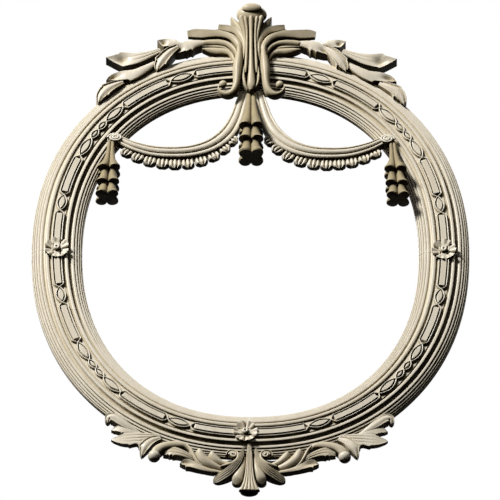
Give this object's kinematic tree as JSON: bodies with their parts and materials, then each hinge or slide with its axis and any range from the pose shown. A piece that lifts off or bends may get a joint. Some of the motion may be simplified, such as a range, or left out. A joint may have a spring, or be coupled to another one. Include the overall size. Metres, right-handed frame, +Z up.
{
  "type": "carved oval picture frame",
  "caption": "Upright oval picture frame in pale carved wood with a leaf crest, draped swags, tassels, rosettes and a base palmette, hung on the wall from swinging rings.",
  "frame": {"origin": "centre of the oval, on the wall plane that the back bumpers touch", "axes": "+Z up the frame, +X to the viewer's right, +Y into the wall, front towards -Y"},
  "size_m": [0.647, 0.0672, 0.88],
  "materials": {
    "carved_wood": "pale ivory-toned carved hardwood, satin, darkened in the recesses",
    "back_wood": "bare planed softwood",
    "steel": "zinc-plated wood screws",
    "brass": "pressed brass, slightly dull",
    "rubber": "soft matt rubber"
  },
  "bodies": {
    "frame": {"moulding_upper_right": "carved_wood", "moulding_upper_left": "carved_wood", "moulding_lower_left": "carved_wood", "moulding_lower_right": "carved_wood", "back_arc_right": "back_wood", "back_arc_top": "back_wood", "back_arc_left": "back_wood", "back_arc_bottom": "back_wood", "rosette_right": "carved_wood", "rosette_left": "carved_wood", "rosette_bottom": "carved_wood", "crest_palmette": "carved_wood", "base_palmette": "carved_wood", "tassel_centre": "carved_wood", "crest_volute_right": "carved_wood", "crest_volute_left": "carved_wood", "crest_spray_right": "carved_wood", "crest_spray_left": "carved_wood", "swag_right": "carved_wood", "swag_left": "carved_wood", "fringe_right": "carved_wood", "fringe_left": "carved_wood", "knot_right": "carved_wood", "knot_left": "carved_wood", "tassel_right": "carved_wood", "tassel_left": "carved_wood", "base_scroll_right": "carved_wood", "base_scroll_left": "carved_wood", "ball_drop_right": "carved_wood", "ball_drop_left": "carved_wood", "base_spray_right": "carved_wood", "base_spray_left": "carved_wood", "crest_cleat": "back_wood", "base_cleat": "back_wood", "crest_cleat_screw_1": "steel", "crest_cleat_screw_2": "steel", "crest_cleat_screw_3": "steel", "crest_cleat_screw_4": "steel", "base_cleat_screw_1": "steel", "base_cleat_screw_2": "steel", "base_cleat_screw_3": "steel", "base_cleat_screw_4": "steel", "turn_button_screw_right": "steel", "turn_button_screw_top": "steel", "turn_button_screw_left": "steel", "turn_button_screw_bottom": "steel", "hanger_strap_right": "brass", "hanger_strap_left": "brass", "hanger_screw_right": "steel", "hanger_screw_left": "steel", "wall_bumper_right": "rubber", "wall_bumper_left": "rubber"},
    "ring_right": {"hanger_ring_right": "brass"},
    "ring_left": {"hanger_ring_left": "brass"},
    "button_right": {"turn_button_right": "brass"},
    "button_top": {"turn_button_top": "brass"},
    "button_left": {"turn_button_left": "brass"},
    "button_bottom": {"turn_button_bottom": "brass"}
  },
  "joints": [
    {"name": "ring_right_swing", "type": "hinge", "parent": "frame", "child": "ring_right", "pos_m": [0.25064, -0.0025, 0.17763], "axis": [1, 0, 0], "range_deg": [0, 180]},
    {"name": "ring_left_swing", "type": "hinge", "parent": "frame", "child": "ring_left", "pos_m": [-0.25064, -0.0025, 0.17763], "axis": [1, 0, 0], "range_deg": [0, 180]},
    {"name": "button_right_turn", "type": "hinge", "parent": "frame", "child": "button_right", "pos_m": [0.2685, -0.0037, 0], "axis": [0, 1, 0], "continuous": true},
    {"name": "button_top_turn", "type": "hinge", "parent": "frame", "child": "button_top", "pos_m": [0, -0.0037, 0.318], "axis": [0, 1, 0], "continuous": true},
    {"name": "button_left_turn", "type": "hinge", "parent": "frame", "child": "button_left", "pos_m": [-0.2685, -0.0037, 0], "axis": [0, 1, 0], "continuous": true},
    {"name": "button_bottom_turn", "type": "hinge", "parent": "frame", "child": "button_bottom", "pos_m": [0, -0.0037, -0.318], "axis": [0, 1, 0], "continuous": true}
  ]
}
